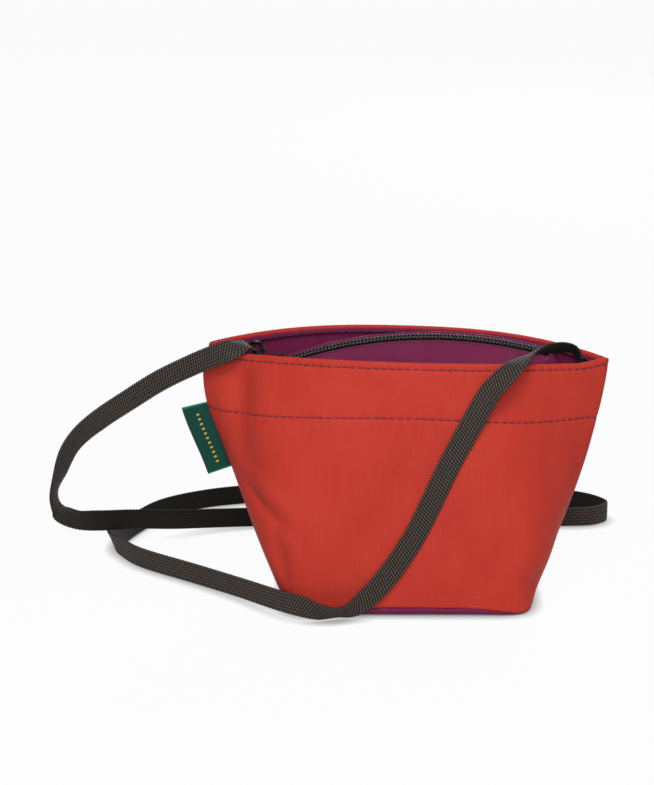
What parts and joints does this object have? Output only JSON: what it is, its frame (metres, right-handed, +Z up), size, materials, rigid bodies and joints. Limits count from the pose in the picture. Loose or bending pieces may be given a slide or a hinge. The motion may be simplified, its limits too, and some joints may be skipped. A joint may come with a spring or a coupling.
{
  "type": "crossbody bag",
  "caption": "Small soft crossbody bag: boat-shaped red fabric pouch, plum lining and base, curved inset zip with a sliding pull, long webbing strap and a side label.",
  "frame": {"origin": "middle of the base's underside, on the surface the bag stands on", "axes": "+Z up, +X along the mouth from the label's seam to the other seam, -Y towards the front"},
  "size_m": [0.3239, 0.1942, 0.1451],
  "materials": {
    "red_fabric": "matte coated weave",
    "plum_fabric": "matte coated weave",
    "webbing": "ribbed weave",
    "zip_tape": "fine weave",
    "zip_nylon": "satin",
    "dark_metal": "satin black",
    "green_weave": "woven tab"
  },
  "bodies": {
    "shell": {"front_panel": "red_fabric", "back_panel": "red_fabric", "base_panel": "plum_fabric", "front_facing": "plum_fabric", "back_facing": "plum_fabric", "front_zip_strip": "plum_fabric", "back_zip_strip": "plum_fabric", "front_zip_tape": "zip_tape", "back_zip_tape": "zip_tape", "front_zip_teeth": "zip_nylon", "back_zip_teeth": "zip_nylon", "front_top_stop": "dark_metal", "back_top_stop": "dark_metal", "zip_bottom_stop": "dark_metal", "left_seam_binding": "plum_fabric", "right_seam_binding": "plum_fabric", "left_end_tab": "plum_fabric", "right_end_tab": "plum_fabric", "left_strap_tack": "webbing", "right_strap_tack": "webbing", "side_label": "green_weave", "strap": "webbing"},
    "slider": {"zip_slider": "dark_metal"},
    "pull": {"slider_pull": "dark_metal"}
  },
  "joints": [
    {"name": "zip_travel", "type": "hinge", "parent": "shell", "child": "slider", "pos_m": [0.01343, -0.02531, -0.08956], "axis": [0.1104, 0.9841, -0.1392], "range_deg": [0, 33.6], "deforming": ["front_zip_teeth", "back_zip_teeth"]},
    {"name": "pull_flip", "type": "hinge", "parent": "slider", "child": "pull", "pos_m": [-0.07001, 0.01273, 0.12627], "axis": [-0.0306, 0.9761, 0.2153], "range_deg": [0, 165]}
  ]
}
